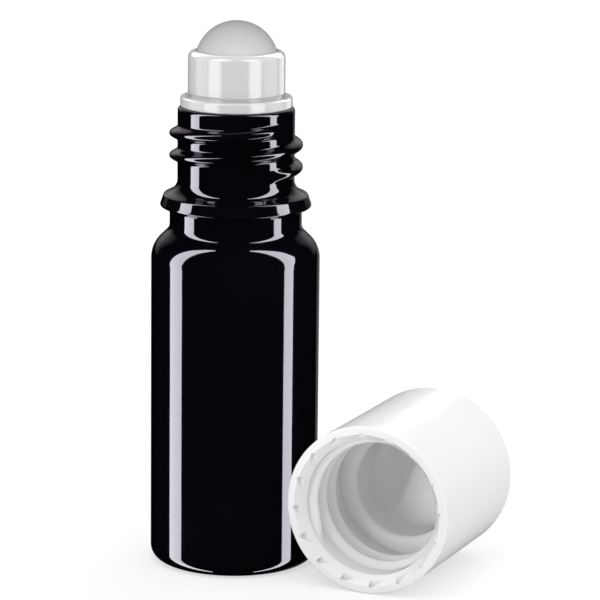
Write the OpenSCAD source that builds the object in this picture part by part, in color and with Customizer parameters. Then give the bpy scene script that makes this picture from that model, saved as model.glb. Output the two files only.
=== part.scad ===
// Roll-on bottle of about 10 ml: a glass bottle with a screw neck, a snap-in roller housing
// with its ball, and a screw cap that lies beside the bottle with its mouth to the front.
// Millimetres, Z up. The origin is the centre of the bottle's foot, on the table.

/* [Bottle] */
// Outer diameter of the body
body_d = 22.7; // [21:0.1:30]
// Height of the glass alone, from the table to the rim of the mouth
glass_h = 62.3; // [50:0.1:90]
// Wall of the body
wall = 1.9; // [1.2:0.1:2.3]
// Glass above the table at the middle of the inner floor
floor_t = 2.8; // [2.2:0.1:4]
// Radius of the rounded heel
heel_r = 1.9; // [1:0.1:3]
// Width of the ring that the bottle stands on
foot_w = 0.8; // [0.5:0.1:1.5]
// Rise of the hollow under the bottle
punt_rise = 1; // [0.5:0.1:1.5]
// Radius of the inner corner at the floor
inner_corner_r = 3; // [1.5:0.1:4]
// Radius of the round shoulder
shoulder_r = 4; // [3:0.1:5]
// Steepest tilt of the shoulder, in degrees from upright
shoulder_tilt = 46; // [35:1:60]
// Radius of the hollow curve between shoulder and lower neck
collar_blend_r = 1.35; // [0.8:0.05:2.5]

/* [Glass finish] */
// Diameter of the neck between the threads
neck_d = 15.7; // [15:0.1:16.5]
// Wall of the neck round the bore, which holds the housing's plug
neck_wall = 1.65; // [1.4:0.05:2]
// Rounding of the glass rim
rim_r = 0.55; // [0.3:0.05:0.7]
// How far the bead under the threads stands out of the neck, at its lower edge
bead_out = 2.3; // [1.9:0.05:2.6]
// Drop from the rim of the glass to the bead's lower edge
bead_drop = 13.5; // [12.6:0.1:14.4]
// Height of the bead's outer wall
bead_h = 1.3; // [0.9:0.05:1.6]
// How much narrower the bead's wall is at its top, on the radius
bead_taper = 0.25; // [0.1:0.05:0.5]
// Rounding of the bead's edges
bead_edge_r = 0.3; // [0.15:0.05:0.45]
// Tilt of the bead's underside, in degrees from upright
bead_under_tilt = 65; // [45:1:75]
// Tilt of the bead's upper side, in degrees from upright
bead_top_tilt = 58; // [45:1:70]
// Radius of the hollow curve between bead and neck
bead_blend_r = 2.8; // [1.2:0.1:3.2]
// How much the lower neck, under the bead, is thicker than the neck, on the radius
lower_neck_out = 1.03; // [0.7:0.01:1.4]
// Height of the straight lower neck
lower_neck_h = 1.9; // [1:0.1:4]

/* [Thread] */
// Height of the glass thread above the neck
thread_h = 1.07; // [0.9:0.01:1.2]
// Rise of the thread in one turn, right-handed
thread_pitch = 3; // [2.6:0.1:3.4]
// Width of the thread at its foot
thread_w = 2; // [1.6:0.05:2.4]
// Turns of the glass thread
thread_turns = 2.04; // [1.5:0.02:2.2]
// Drop from the rim of the glass to the crest of the thread's upper end
thread_drop = 2.43; // [2.2:0.01:3]
// Direction of the thread's upper end, in degrees about the bottle
thread_end_angle = -15; // [-180:1:180]
// Stretch over which each end of a thread dies away, in degrees
thread_fade = 32; // [15:1:60]

/* [Roller housing] */
// How far the flange's edge stays inside the neck's outer side, on the radius
flange_inset = 0.35; // [0.1:0.05:0.6]
// Thickness of the flange
flange_t = 1.4; // [1:0.05:1.8]
// Rounding of the flange's edges
flange_edge_r = 0.25; // [0.1:0.05:0.4]
// Wall of the cup beside the ball's middle
cup_wall = 0.82; // [0.7:0.02:1.2]
// Height of the cup's rim above the ball's middle, which keeps the ball in
lip_h = 1.6; // [1.3:0.05:2]
// Rounding of the cup's rim
cup_edge_r = 0.9; // [0.5:0.05:0.95]
// Depth of the fine groove at the cup's foot
foot_groove = 0.15; // [0.05:0.05:0.3]
// Tilt of the ball's seat below its middle, in degrees
seat_angle = 50; // [40:1:60]
// Width of the ledge between the ball's seat and the hole that feeds it
feed_ledge = 0.45; // [0.3:0.05:1]
// Room under the ball for the liquid
feed_room = 0.6; // [0.3:0.05:1]
// Slots that carry the liquid past the seat
feed_slots = 4; // [3:1:6]
// Width of a feed slot
feed_slot_w = 0.9; // [0.5:0.1:1.2]
// Length of the plug inside the neck
plug_h = 7; // [6:0.1:9]
// Wall of the plug
plug_wall = 1; // [0.8:0.1:1.3]
// Sealing ribs round the plug
plug_ribs = 3; // [2:1:4]
// Bite of each sealing rib into the bore
rib_bite = 0.05; // [0.02:0.01:0.08]

/* [Ball] */
// Diameter of the roller ball
ball_d = 11.2; // [11:0.1:11.3]
// Height of the ball's lowest point above the glass rim
ball_lift = 0.3; // [0.2:0.05:0.6]
// Running clearance round the ball
ball_clearance = 0.08; // [0.04:0.01:0.1]

/* [Cap] */
// Width of the flat rim at the mouth of the cap
rim_w = 1.08; // [0.9:0.02:2.5]
// Rounding of the cap's closed end
cap_top_r = 0.9; // [0.4:0.1:1.3]
// Rounding of the cap's outer edge at the mouth
cap_mouth_r = 0.35; // [0.2:0.05:0.5]
// Wall of the closed end
cap_top_t = 1.4; // [1:0.1:3]
// Rounding in the inner corner of the closed end
chamber_corner_r = 1.5; // [0.5:0.1:2.5]
// Depth of the conical lead-in at the mouth
lead_in_h = 1.8; // [1.2:0.1:2.4]
// Bare wall between the lead-in and the start of the thread ridge inside the cap
ridge_inset = 0.3; // [0.1:0.05:0.8]
// Bare wall between two turns of the ridge
ridge_apart = 0.6; // [0.4:0.05:1.2]
// Saw-tooth notches round the inside of the mouth
notches = 16; // [12:1:20]
// Stretch of one notch, in degrees
notch_arc = 10; // [6:1:14]
// Depth of a notch behind the mouth
notch_h = 1; // [0.6:0.1:1.4]
// Bite of a notch's steep side into the flat rim
notch_bite = 0.12; // [0.05:0.01:0.2]

/* [Cap fit] */
// Air between the bead's wall and the mouth of the seated cap, upwards
cap_rim_gap = 0.3; // [0.2:0.05:0.8]
// Air between the bead and the mouth of the cap, on the radius
cap_mouth_clearance = 0.12; // [0.08:0.01:0.3]
// Air between the glass thread's crest and the cap, on the radius
crest_clearance = 0.28; // [0.15:0.01:0.35]
// Air between the neck and the tip of the cap's ridge, on the radius
ridge_clearance = 0.46; // [0.3:0.01:0.6]
// Air between the housing's cup and the cap's chamber, on the radius
chamber_clearance = 0.5; // [0.3:0.05:0.8]
// Air between the flange and the sealing step of the seated cap
seal_gap = 0.05; // [0.02:0.01:0.1]
// Air between the ball and the closed end of the seated cap
ball_air = 0.4; // [0.2:0.05:1]

/* [Place of the cap] */
// Air between the bottle and the cap that lies beside it
cap_apart = 0.4; // [0.3:0.1:20]
// Distance from the bottle's middle to the cap's mouth, towards the front
cap_forward = 9; // [0:0.5:20]
// Turn of the lying cap about its own axis, in degrees
cap_roll = -2.5; // [-180:0.5:180]

/* [Hidden] */
$fn = 96;
arc_steps = 7;
ring_steps = 40;
overrun = 0.4;

glass_color = [0.03, 0.025, 0.04];
housing_color = [0.93, 0.93, 0.94];
ball_color = [0.78, 0.78, 0.78];
cap_color = [0.95, 0.95, 0.96];

body_r = body_d / 2;
neck_r = neck_d / 2;
bore_r = neck_r - neck_wall;
lower_neck_r = neck_r + lower_neck_out;
ball_r = ball_d / 2;

// The bead under the thread: a straight side leads to its wall from below, and a blend from it to the neck
bead_r = neck_r + bead_out;
bead_z = glass_h - bead_drop;
bead_top_z = bead_z + bead_h;
bead_top_r = bead_r - bead_taper;
bead_wall_tilt = atan(bead_taper / bead_h);
bead_foot_r = bead_r - bead_edge_r * (1 - cos(bead_under_tilt));
bead_foot_z = bead_z + bead_edge_r * (1 - sin(bead_under_tilt));
bead_under_z = bead_foot_z - (bead_foot_r - lower_neck_r) / tan(bead_under_tilt);
bead_corner_r = bead_top_r - bead_edge_r * (1 - cos(bead_top_tilt));
bead_corner_z = bead_top_z - bead_edge_r * (1 - sin(bead_top_tilt));
blend_r = min(bead_blend_r, (bead_corner_r - neck_r) / (1 - cos(bead_top_tilt)));
blend_foot_r = neck_r + blend_r * (1 - cos(bead_top_tilt));
blend_top_z = bead_corner_z + (bead_corner_r - blend_foot_r) / tan(bead_top_tilt) + blend_r * sin(bead_top_tilt);

// The bottle's shoulder: round above, hollow below, and a straight cone where the two leave room
inner_r = body_r - wall;
shoulder_bend = shoulder_r + collar_blend_r;
shoulder_share = min(1, (body_r - lower_neck_r) / shoulder_bend);
tilt = min(shoulder_tilt, acos(1 - shoulder_share));
lower_neck_z = bead_under_z - lower_neck_h;
cone_w = body_r - lower_neck_r - shoulder_bend * (1 - cos(tilt));
shoulder_z = lower_neck_z - shoulder_bend * sin(tilt) - cone_w / tan(tilt);
punt_r = body_r - heel_r - foot_w;
punt_ball_r = (punt_r ^ 2 + punt_rise ^ 2) / (2 * punt_rise);
punt_half = asin(punt_r / punt_ball_r);
inner_bend_r = shoulder_r - wall;
mouth_bend_r = wall;
inner_cone_w = inner_r - bore_r - (inner_bend_r + mouth_bend_r) * (1 - cos(tilt));
inner_neck_z = shoulder_z + (inner_bend_r + mouth_bend_r) * sin(tilt) + inner_cone_w / tan(tilt);

// The glass thread, whose two ends sink into the wall. A round crown stands on sloping sides
thread_r = neck_r + thread_h;
thread_top_z = glass_h - thread_drop;
thread_start_z = thread_top_z - thread_pitch * thread_turns;
thread_start_angle = thread_end_angle - 360 * thread_turns;
thread_root = 0.1;
sunk_share = -0.1;
crown_w_share = 0.36;
crown_h_share = 0.5;
crown_end = 70;

// The roller housing, with heights above the glass rim
ball_rise = ball_lift + ball_r;
socket_r = ball_r + ball_clearance;
lip_angle = asin(lip_h / socket_r);
lip_r = socket_r * cos(lip_angle);
cup_r = socket_r + cup_wall;
cup_h = ball_rise + lip_h;
cup_edge_share = 0.9;
cup_round_r = min(cup_edge_r, (cup_r - lip_r) * cup_edge_share);
flange_r = neck_r - flange_inset;
seat_r = socket_r * cos(seat_angle);
seat_h = ball_rise - socket_r * sin(seat_angle);
web_share = 0.85;
web_t = flange_t * web_share;
well_h = ball_lift - feed_room;
well_under_h = well_h - web_t;
feed_r = seat_r - feed_ledge;
slot_reach = seat_r + plug_wall;
slot_top_h = seat_h + flange_t;
plug_r = bore_r - rib_bite * 2;
rib_r = bore_r + rib_bite;
rib_half = plug_wall / 3;
plug_tip = plug_wall / 2;
rib_step = (plug_h - plug_wall) / (plug_ribs + 1);
groove_w = foot_groove * 2;

// The seated cap measures its inside from the glass, the flange and the ball
ball_top_z = glass_h + ball_rise + ball_r;
cap_seat_z = bead_top_z + cap_rim_gap;
skirt_h = glass_h + flange_t + seal_gap - cap_seat_z;
chamber_end = ball_top_z + ball_air - cap_seat_z;
cap_l = chamber_end + cap_top_t;
skirt_r = thread_r + crest_clearance;
ridge_tip_r = neck_r + ridge_clearance;
chamber_r = cup_r + chamber_clearance;
mouth_r = bead_r + cap_mouth_clearance;
cap_r = mouth_r + rim_w;
lead_in_slope = (mouth_r - skirt_r) / lead_in_h;
notch_out_r = mouth_r + notch_bite;
notch_in_r = mouth_r - lead_in_slope * notch_h;

// The ridge inside the cap runs midway between the turns of the glass thread when the cap is seated
ridge_w = thread_pitch - ridge_apart;
ridge_start = lead_in_h + ridge_inset + ridge_w / 2;
ridge_turns = (skirt_h - ridge_start - ridge_w) / thread_pitch;
ridge_start_angle = thread_end_angle
    + 360 * (ridge_start + cap_seat_z - thread_pitch / 2 - thread_top_z) / thread_pitch;
cap_x = body_r + cap_r + cap_apart;

// Points of an arc in an outline, from angle a to angle b
function arc(center, r, a, b) =
    [for (i = [0 : arc_steps]) center + r * direction(a + (b - a) * i / arc_steps)];

// Unit step at an angle, in a plane
function direction(a) = [cos(a), sin(a)];

// How much of a thread stands out of its wall at a turn angle, between two ends that sink in
function stand_share(turned, total) =
    let (near = min(turned, total - turned, thread_fade) / thread_fade)
    sunk_share + (1 - sunk_share) * sin(90 * near);

// Cross-section of a thread bead at one angle: side 1 stands out of a shaft, side -1 into a bore
function bead_section(root_r, height, width, side, share) =
    let (
        base_r = root_r - side * height * (1 - share),
        crown_h = height * crown_h_share,
        crown_w = width / 2 * crown_w_share,
        crown_r = base_r + side * (height - crown_h),
        spread = thread_root * (width / 2 - crown_w) / (height - crown_h),
        foot = [base_r - side * thread_root, width / 2 + spread],
        crown = [for (i = [0 : arc_steps]) crown_end * (2 * i / arc_steps - 1)],
        points = concat(
            [[foot[0], -foot[1]]],
            [for (a = crown) [crown_r + side * crown_h * cos(a), crown_w * sin(a)]],
            [foot]
        ),
        last = len(points) - 1
    )
    side > 0 ? points : [for (i = [0 : last]) points[last - i]];

// A rounded thread bead that winds up a right-handed helix round Z
module thread_bead(root_r, height, width, side, start_angle, start_z, turns) {
    total = 360 * turns;
    rings = ceil(turns * ring_steps);
    count = arc_steps + 3;
    points = [
        for (i = [0 : rings])
        let (turned = total * i / rings)
        for (p = bead_section(root_r, height, width, side, stand_share(turned, total)))
        let (d = direction(start_angle + turned))
        [p[0] * d[0], p[0] * d[1], start_z + thread_pitch * turned / 360 + p[1]]
    ];
    skin = [
        for (i = [0 : rings - 1])
        for (j = [0 : count - 1])
        let (
            a = i * count + j,
            b = i * count + (j + 1) % count
        )
        for (face = [[a, b, b + count], [a, b + count, a + count]])
        face
    ];
    first_end = [for (j = [count - 1 : -1 : 0]) j];
    last_end = [for (j = [0 : count - 1]) rings * count + j];
    polyhedron(points, concat(skin, [first_end, last_end]), convexity = 6);
}

// Outer outline of the glass, from the middle of the punt to the rim
function glass_outside() = concat(
    arc([0, punt_rise - punt_ball_r], punt_ball_r, 90, 90 - punt_half),
    arc([body_r - heel_r, heel_r], heel_r, -90, 0),
    arc([body_r - shoulder_r, shoulder_z], shoulder_r, 0, tilt),
    arc([lower_neck_r + collar_blend_r, lower_neck_z], collar_blend_r, 180 + tilt, 180),
    [[lower_neck_r, bead_under_z]],
    arc([bead_r - bead_edge_r, bead_z + bead_edge_r], bead_edge_r, -bead_under_tilt, bead_wall_tilt),
    arc([bead_top_r - bead_edge_r, bead_top_z - bead_edge_r], bead_edge_r, bead_wall_tilt, bead_top_tilt),
    arc([neck_r + blend_r, blend_top_z], blend_r, 180 + bead_top_tilt, 180),
    arc([neck_r - rim_r, glass_h - rim_r], rim_r, 0, 90),
    [[0, glass_h]]
);

// Outline of the hollow in the glass, from above the rim down to the middle of the floor
function glass_inside() = concat(
    [[0, glass_h + overrun], [bore_r + rim_r / 2, glass_h + overrun]],
    arc([bore_r + rim_r / 2, glass_h - rim_r / 2], rim_r / 2, 90, 180),
    arc([bore_r + mouth_bend_r, inner_neck_z], mouth_bend_r, 180, 180 + tilt),
    arc([inner_r - inner_bend_r, shoulder_z], inner_bend_r, tilt, 0),
    arc([inner_r - inner_corner_r, floor_t + inner_corner_r], inner_corner_r, 0, -90),
    [[0, floor_t]]
);

// Outline of one sealing rib on the plug, read upwards
function rib_outline(h) = [[plug_r, h - rib_half], [rib_r, h], [plug_r, h + rib_half]];

// Outline of the housing, from the feed hole round the plug and the cup to the ball's seat
function housing_outline() = concat(
    [
        [feed_r, well_under_h],
        [plug_r - plug_wall, well_under_h],
        [plug_r - plug_wall, -plug_h],
        [plug_r - plug_tip, -plug_h],
        [plug_r, plug_tip - plug_h]
    ],
    [for (i = [1 : plug_ribs]) for (p = rib_outline(rib_step * i - plug_h)) p],
    [[plug_r, 0], [flange_r - flange_edge_r, 0]],
    arc([flange_r - flange_edge_r, flange_edge_r], flange_edge_r, -90, 0),
    arc([flange_r - flange_edge_r, flange_t - flange_edge_r], flange_edge_r, 0, 90),
    [
        [cup_r - foot_groove, flange_t],
        [cup_r - foot_groove, flange_t + groove_w],
        [cup_r, flange_t + groove_w * 2]
    ],
    arc([cup_r - cup_round_r, cup_h - cup_round_r], cup_round_r, 0, 90),
    arc([0, ball_rise], socket_r, lip_angle, -seat_angle),
    [[seat_r, well_h], [feed_r, well_h]]
);

// Outline of the cap's wall in its own frame: the mouth lies on z = 0 and the closed end is up
function cap_outline() = concat(
    [[mouth_r, 0]],
    arc([cap_r - cap_mouth_r, cap_mouth_r], cap_mouth_r, -90, 0),
    arc([cap_r - cap_top_r, cap_l - cap_top_r], cap_top_r, 0, 90),
    [[0, cap_l], [0, chamber_end]],
    arc([chamber_r - chamber_corner_r, chamber_end - chamber_corner_r], chamber_corner_r, 90, 0),
    [[chamber_r, skirt_h], [skirt_r, skirt_h], [skirt_r, lead_in_h]]
);

// One saw-tooth notch: a steep side on the X axis, and a ramp that runs out clockwise
module notch() {
    translate([0, 0, -overrun])
        linear_extrude(notch_h + overrun)
            polygon([
                [notch_in_r - overrun, 0],
                [notch_out_r, 0],
                notch_out_r * direction(-notch_arc / 4),
                notch_in_r * direction(-notch_arc),
                (notch_in_r - overrun) * direction(-notch_arc)
            ]);
}

// The glass bottle with its screw neck
module glass_bottle() {
    color(glass_color)
        difference() {
            union() {
                rotate_extrude() polygon(glass_outside());
                thread_bead(neck_r, thread_h, thread_w, 1, thread_start_angle, thread_start_z, thread_turns);
            }
            rotate_extrude() polygon(glass_inside());
        }
}

// The roller housing: plug in the bore, flange on the rim, and the cup that holds the ball
module ball_housing() {
    color(housing_color)
        translate([0, 0, glass_h])
            difference() {
                rotate_extrude() polygon(housing_outline());
                for (i = [0 : feed_slots - 1])
                    rotate(360 * i / feed_slots)
                        translate([0, -feed_slot_w / 2, well_h])
                            cube([slot_reach, feed_slot_w, slot_top_h - well_h]);
            }
}

// The ball, free in its socket
module roller_ball() {
    color(ball_color)
        translate([0, 0, glass_h + ball_rise])
            sphere(ball_r);
}

// The cap in its own frame, as it comes out of the mould
module cap_moulding() {
    difference() {
        union() {
            rotate_extrude() polygon(cap_outline());
            thread_bead(skirt_r, skirt_r - ridge_tip_r, ridge_w, -1, ridge_start_angle, ridge_start, ridge_turns);
        }
        for (i = [0 : notches - 1])
            rotate(360 * i / notches)
                notch();
    }
}

// The cap where it lies beside the bottle, its mouth to the front
module screw_cap() {
    color(cap_color)
        translate([cap_x, -cap_forward, cap_r])
            rotate([-90, 0, 0])
                rotate(cap_roll)
                    cap_moulding();
}

glass_bottle();
ball_housing();
roller_ball();
screw_cap();
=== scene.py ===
"""Looks of the roll-on bottle: dark glass, a white roller housing with its grey ball, and a white screw cap beside it.

Sizes are in millimetres, and every mesh is brought to metres in the row frame when it is made.
"""

import logging
import math
from dataclasses import dataclass
from enum import Enum

import bmesh
import bpy
from mathutils import Matrix, Quaternion, Vector


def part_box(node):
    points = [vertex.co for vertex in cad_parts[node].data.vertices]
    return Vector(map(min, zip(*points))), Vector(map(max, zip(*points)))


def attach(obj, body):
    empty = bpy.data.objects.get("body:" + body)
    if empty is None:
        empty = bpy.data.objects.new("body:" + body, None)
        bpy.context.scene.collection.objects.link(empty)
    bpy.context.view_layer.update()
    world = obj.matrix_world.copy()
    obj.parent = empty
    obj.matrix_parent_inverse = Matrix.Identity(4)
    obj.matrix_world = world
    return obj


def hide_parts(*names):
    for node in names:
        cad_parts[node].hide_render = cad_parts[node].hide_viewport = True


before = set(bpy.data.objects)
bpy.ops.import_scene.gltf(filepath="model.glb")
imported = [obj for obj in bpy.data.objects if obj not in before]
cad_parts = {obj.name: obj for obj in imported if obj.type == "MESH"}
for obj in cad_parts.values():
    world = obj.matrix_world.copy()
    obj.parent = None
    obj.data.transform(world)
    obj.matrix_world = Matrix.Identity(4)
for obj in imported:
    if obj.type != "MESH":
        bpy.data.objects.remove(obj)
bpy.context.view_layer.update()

LOG = logging.getLogger("scene")
MM = 0.001
GUARD = 0.12
MERGE = 0.0004
SHARP_EDGE = math.radians(32)
GLOW_SHARE = "glow_share"
Colour = tuple[float, float, float]


def tilted(radius: float, degrees: float) -> Vector:
    """A step of a given length at an angle in the half section, in millimetres.

    Args:
        radius: Length of the step.
        degrees: Its angle, where 0 points outwards and 90 points up.

    Returns:
        The step as (outwards, upwards).
    """
    angle = math.radians(degrees)
    return Vector((radius * math.cos(angle), radius * math.sin(angle)))


def node_box(node: str) -> tuple[Vector, Vector]:
    """The box of a CAD node in millimetres.

    Args:
        node: Name of the node.

    Returns:
        Its lowest and highest corner.
    """
    low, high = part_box(node)
    return low / MM, high / MM


class Outline:
    """Half section of a turned piece in millimetres, read in order round its material."""

    def __init__(self, radius: float, height: float) -> None:
        """Starts the outline at a point.

        Args:
            radius: Distance from the axis.
            height: Height along the axis.
        """
        self.points = [Vector((radius, height))]

    def line(self, radius: float, height: float, step: float = 0.0, guard: float = GUARD) -> "Outline":
        """Goes straight to a point, with a guard point near both ends, so that smooth shading stays flat between.

        Args:
            radius: Distance of the new point from the axis.
            height: Height of the new point.
            step: Longest distance between points, or 0 for no more points than the guards.
            guard: Distance of the guard points from the ends.

        Returns:
            The outline itself.
        """
        start, end = self.points[-1], Vector((radius, height))
        length = (end - start).length
        near = min(guard, length / 3)
        pieces = max(1, math.ceil((length - 2 * near) / step)) if step else 1
        marks = [near + (length - 2 * near) * i / pieces for i in range(pieces + 1)]
        self.points += [start.lerp(end, mark / length) for mark in marks + [length]]
        return self

    def arc(self, centre: tuple[float, float], radius: float, first: float, last: float, steps: int = 12) -> "Outline":
        """Goes along an arc, after a straight line to its first point where the outline isn't there yet.

        Args:
            centre: Centre of the arc as (radius, height).
            radius: Radius of the arc.
            first: Angle of its first point in degrees.
            last: Angle of its last point in degrees.
            steps: Number of chords.

        Returns:
            The outline itself.
        """
        middle = Vector(centre)
        begin = middle + tilted(radius, first)
        if (begin - self.points[-1]).length > MERGE:
            self.line(*begin)
        self.points += [middle + tilted(radius, first + (last - first) * i / steps) for i in range(1, steps + 1)]
        return self

    def close(self) -> "Outline":
        """Goes back to the first point, for a piece with a hole along its axis."""
        return self.line(*self.points[0])

    def mesh(self, name: str) -> bpy.types.Mesh:
        """The outline as a chain of edges in the XZ plane, in metres.

        Args:
            name: Name of the new mesh.

        Returns:
            The mesh.
        """
        made = bpy.data.meshes.new(name)
        points = [(p.x * MM, 0.0, p.y * MM) for p in self.points]
        made.from_pydata(points, [(i, i + 1) for i in range(len(points) - 1)], [])
        return made


class Term:
    """A number that nodes work out, written with plain arithmetic."""

    def __init__(self, pad: "Pad", socket: bpy.types.NodeSocket) -> None:
        """Wraps a socket.

        Args:
            pad: The pad that the socket's node is on.
            socket: The socket that gives the number.
        """
        self.pad = pad
        self.socket = socket

    def __add__(self, other: "Term | float") -> "Term":
        """This number plus another."""
        return self.pad.math("ADD", self, other)

    def __sub__(self, other: "Term | float") -> "Term":
        """This number less another."""
        return self.pad.math("SUBTRACT", self, other)

    def __rsub__(self, other: float) -> "Term":
        """A plain number less this one."""
        return self.pad.math("SUBTRACT", other, self)

    def __mul__(self, other: "Term | float") -> "Term":
        """This number times another."""
        return self.pad.math("MULTIPLY", self, other)

    def __truediv__(self, other: "Term | float") -> "Term":
        """This number divided by another."""
        return self.pad.math("DIVIDE", self, other)

    def __pow__(self, other: float) -> "Term":
        """This number to a power."""
        return self.pad.math("POWER", self, other)


class Pad:
    """Writes nodes and links into one tree, of geometry or of a material."""

    def __init__(self, tree: bpy.types.NodeTree) -> None:
        """Starts writing into a tree.

        Args:
            tree: The node tree.
        """
        self.tree = tree

    def feed(self, socket: bpy.types.NodeSocket, value: object) -> None:
        """Links a socket to a term or another socket, or sets it to a plain value.

        Args:
            socket: The input socket.
            value: A Term, a socket, or a value that the socket takes.
        """
        source = value.socket if isinstance(value, Term) else value
        if isinstance(source, bpy.types.NodeSocket):
            self.tree.links.new(source, socket)
        else:
            socket.default_value = source

    def node(self, kind: str, inputs: dict[str | int, object] | None = None, **settings: object) -> bpy.types.Node:
        """Adds a node.

        Args:
            kind: Blender's name of the node type.
            inputs: Values or links for its inputs, by name or by place.
            settings: The node's own settings, set first.

        Returns:
            The node.
        """
        made = self.tree.nodes.new(kind)
        for name, value in settings.items():
            setattr(made, name, value)
        for key, value in (inputs or {}).items():
            self.feed(made.inputs[key], value)
        return made

    def math(self, operation: str, *values: Term | float) -> Term:
        """A number worked out from others.

        Args:
            operation: Blender's name of the operation.
            values: The numbers that it takes.

        Returns:
            The result.
        """
        made = self.node("ShaderNodeMath", dict(enumerate(values)), operation=operation)
        return Term(self, made.outputs[0])

    def noise(self, scale: float, detail: float = 2.0, seed: float = 0.0) -> Term:
        """Noise on the piece's own place, from 0 to 1.

        Args:
            scale: Bumps in one metre.
            detail: How many finer layers it holds.
            seed: Shift along the fourth axis, so that two noises differ.

        Returns:
            The noise.
        """
        place = self.node("ShaderNodeTexCoord").outputs["Object"]
        inputs = {"Vector": place, "W": seed, "Scale": scale, "Detail": detail}
        made = self.node("ShaderNodeTexNoise", inputs, noise_dimensions="4D")
        return Term(self, made.outputs["Fac"])

    def ramp(self, value: Term, low: float, high: float, first: float = 0.3, last: float = 0.7) -> Term:
        """Stretches a stretch of a number onto another one, clamped at its ends.

        Args:
            value: The number.
            low: Result at the start of the stretch.
            high: Result at its end.
            first: Start of the stretch.
            last: End of the stretch.

        Returns:
            The result.
        """
        made = self.node("ShaderNodeMapRange", {"Value": value, "From Min": first, "From Max": last, "To Min": low, "To Max": high})
        return Term(self, made.outputs["Result"])

    def blend(self, share: Term, first: Colour, second: Colour) -> bpy.types.NodeSocket:
        """Mixes two colours.

        Args:
            share: Share of the second colour.
            first: Colour at 0.
            second: Colour at 1.

        Returns:
            The socket that gives the colour.
        """
        made = self.node("ShaderNodeMix", {"Factor": share}, data_type="RGBA")
        ends = [s for s in made.inputs if s.type == "RGBA"]
        for socket, colour in zip(ends, (first, second)):
            socket.default_value = (*colour, 1.0)
        return next(s for s in made.outputs if s.type == "RGBA")


@dataclass(frozen=True)
class Surface:
    """What every finish shares: base colour and its drift, gloss and its drift, and the fine relief."""

    name: str
    slot: str
    colour: Colour
    drift_colour: Colour
    roughness: float
    roughness_drift: float
    relief: float
    relief_scale: float
    wave: float = 0.0
    wave_scale: float = 150.0
    drift_scale: float = 90.0
    specular: float = 0.5
    subsurface: float = 0.0
    subsurface_depth: float = 1.0
    coat: float = 0.0

    def material(self) -> bpy.types.Material:
        """Makes the material.

        Returns:
            A procedural material on Object coordinates.
        """
        made = bpy.data.materials.new(self.name)
        made.use_nodes = True
        pad = Pad(made.node_tree)
        shader = made.node_tree.nodes["Principled BSDF"]
        drift = pad.noise(self.drift_scale, 3.0)
        pad.feed(shader.inputs["Base Color"], pad.blend(pad.ramp(drift, 0.0, 1.0), self.colour, self.drift_colour))
        gloss = pad.noise(self.drift_scale * 2.5, 4.0, 3.0)
        low, high = self.roughness, self.roughness + self.roughness_drift
        pad.feed(shader.inputs["Roughness"], pad.ramp(gloss, low, high))
        pad.feed(shader.inputs["Normal"], self.normal(pad))
        shader.inputs["Specular IOR Level"].default_value = self.specular
        shader.inputs["Coat Weight"].default_value = self.coat
        if self.subsurface:
            shader.inputs["Subsurface Weight"].default_value = self.subsurface
            shader.inputs["Subsurface Radius"].default_value = (1.0, 0.9, 0.85)
            shader.inputs["Subsurface Scale"].default_value = self.subsurface_depth * MM
        made.diffuse_color = (*self.colour, 1.0)
        return made

    def normal(self, pad: Pad) -> bpy.types.NodeSocket:
        """The relief of the surface: slow waves, and fine grain on them.

        Args:
            pad: The material's pad.

        Returns:
            The socket that gives the bent normal.
        """
        slow = pad.node(
            "ShaderNodeBump",
            {"Strength": 1.0, "Distance": self.wave * MM, "Height": pad.noise(self.wave_scale, 1.0, 7.0)},
        )
        grain = pad.node(
            "ShaderNodeBump",
            {
                "Strength": 1.0,
                "Distance": self.relief * MM,
                "Height": pad.noise(self.relief_scale, 3.0, 11.0),
                "Normal": slow.outputs["Normal"],
            },
        )
        return grain.outputs["Normal"]


DARK_GLASS = Surface(
    name="dark_violet_glass",
    slot="dark_glass",
    colour=(0.0018, 0.0014, 0.0026),
    drift_colour=(0.003, 0.0022, 0.0042),
    roughness=0.03,
    roughness_drift=0.03,
    relief=0.0004,
    relief_scale=2500.0,
    wave=0.02,
    wave_scale=110.0,
)
CAP_PLASTIC = Surface(
    name="glossy_white_cap_plastic",
    slot="cap_plastic",
    colour=(0.85, 0.845, 0.86),
    drift_colour=(0.835, 0.83, 0.845),
    roughness=0.1,
    roughness_drift=0.05,
    relief=0.001,
    relief_scale=3500.0,
    wave=0.006,
    wave_scale=200.0,
)
HOUSING_PLASTIC = Surface(
    name="white_housing_plastic",
    slot="housing_plastic",
    colour=(0.65, 0.65, 0.655),
    drift_colour=(0.635, 0.635, 0.64),
    roughness=0.14,
    roughness_drift=0.05,
    relief=0.0008,
    relief_scale=4000.0,
)
BALL_PLASTIC = Surface(
    name="frosted_ball_plastic",
    slot="ball_plastic",
    colour=(0.51, 0.51, 0.51),
    drift_colour=(0.49, 0.49, 0.49),
    roughness=0.5,
    roughness_drift=0.1,
    relief=0.004,
    relief_scale=5000.0,
)


@dataclass(frozen=True)
class ThreadRule:
    """A rounded right-handed bead on a wall: it stands outwards, or inwards where its height is negative."""

    root_radius: float
    height: float
    width: float
    pitch: float
    turns: float
    start_angle: float
    start_height: float
    fade: float
    foot_softness: float = 0.25
    squareness: float = 2.5
    fullness: float = 2.0


@dataclass(frozen=True)
class NotchRule:
    """Saw-tooth notches round a mouth at height 0: a steep side, and a ramp that runs out clockwise."""

    count: int
    arc: float
    depth: float
    outer_radius: float
    inner_radius: float
    full_share: float = 0.75
    crowding: float = 0.8


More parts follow.
